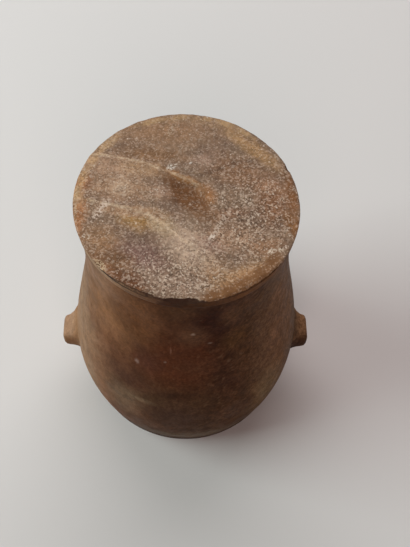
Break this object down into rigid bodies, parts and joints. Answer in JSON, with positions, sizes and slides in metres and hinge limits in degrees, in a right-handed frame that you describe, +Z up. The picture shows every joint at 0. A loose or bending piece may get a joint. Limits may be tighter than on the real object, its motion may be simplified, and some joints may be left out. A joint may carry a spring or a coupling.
{
  "type": "alabaster amphoriskos",
  "caption": "Small turned alabaster jar with solid side lugs and a flaring foot, hollow, stood upside down on its mouth.",
  "frame": {"origin": "centre of the mouth, in the plane that the lip rests on", "axes": "+Z up along the turning axis, from the mouth to the underside of the foot; the lugs point to -X and +X; the picture was taken from the -Y side"},
  "size_m": [0.0848, 0.074, 0.1],
  "materials": {
    "alabaster": "worn satin patina on the body, rough crystalline unpolished stone on the foot's underside"
  },
  "bodies": {
    "root": {"amphoriskos": "alabaster"}
  },
  "joints": []
}
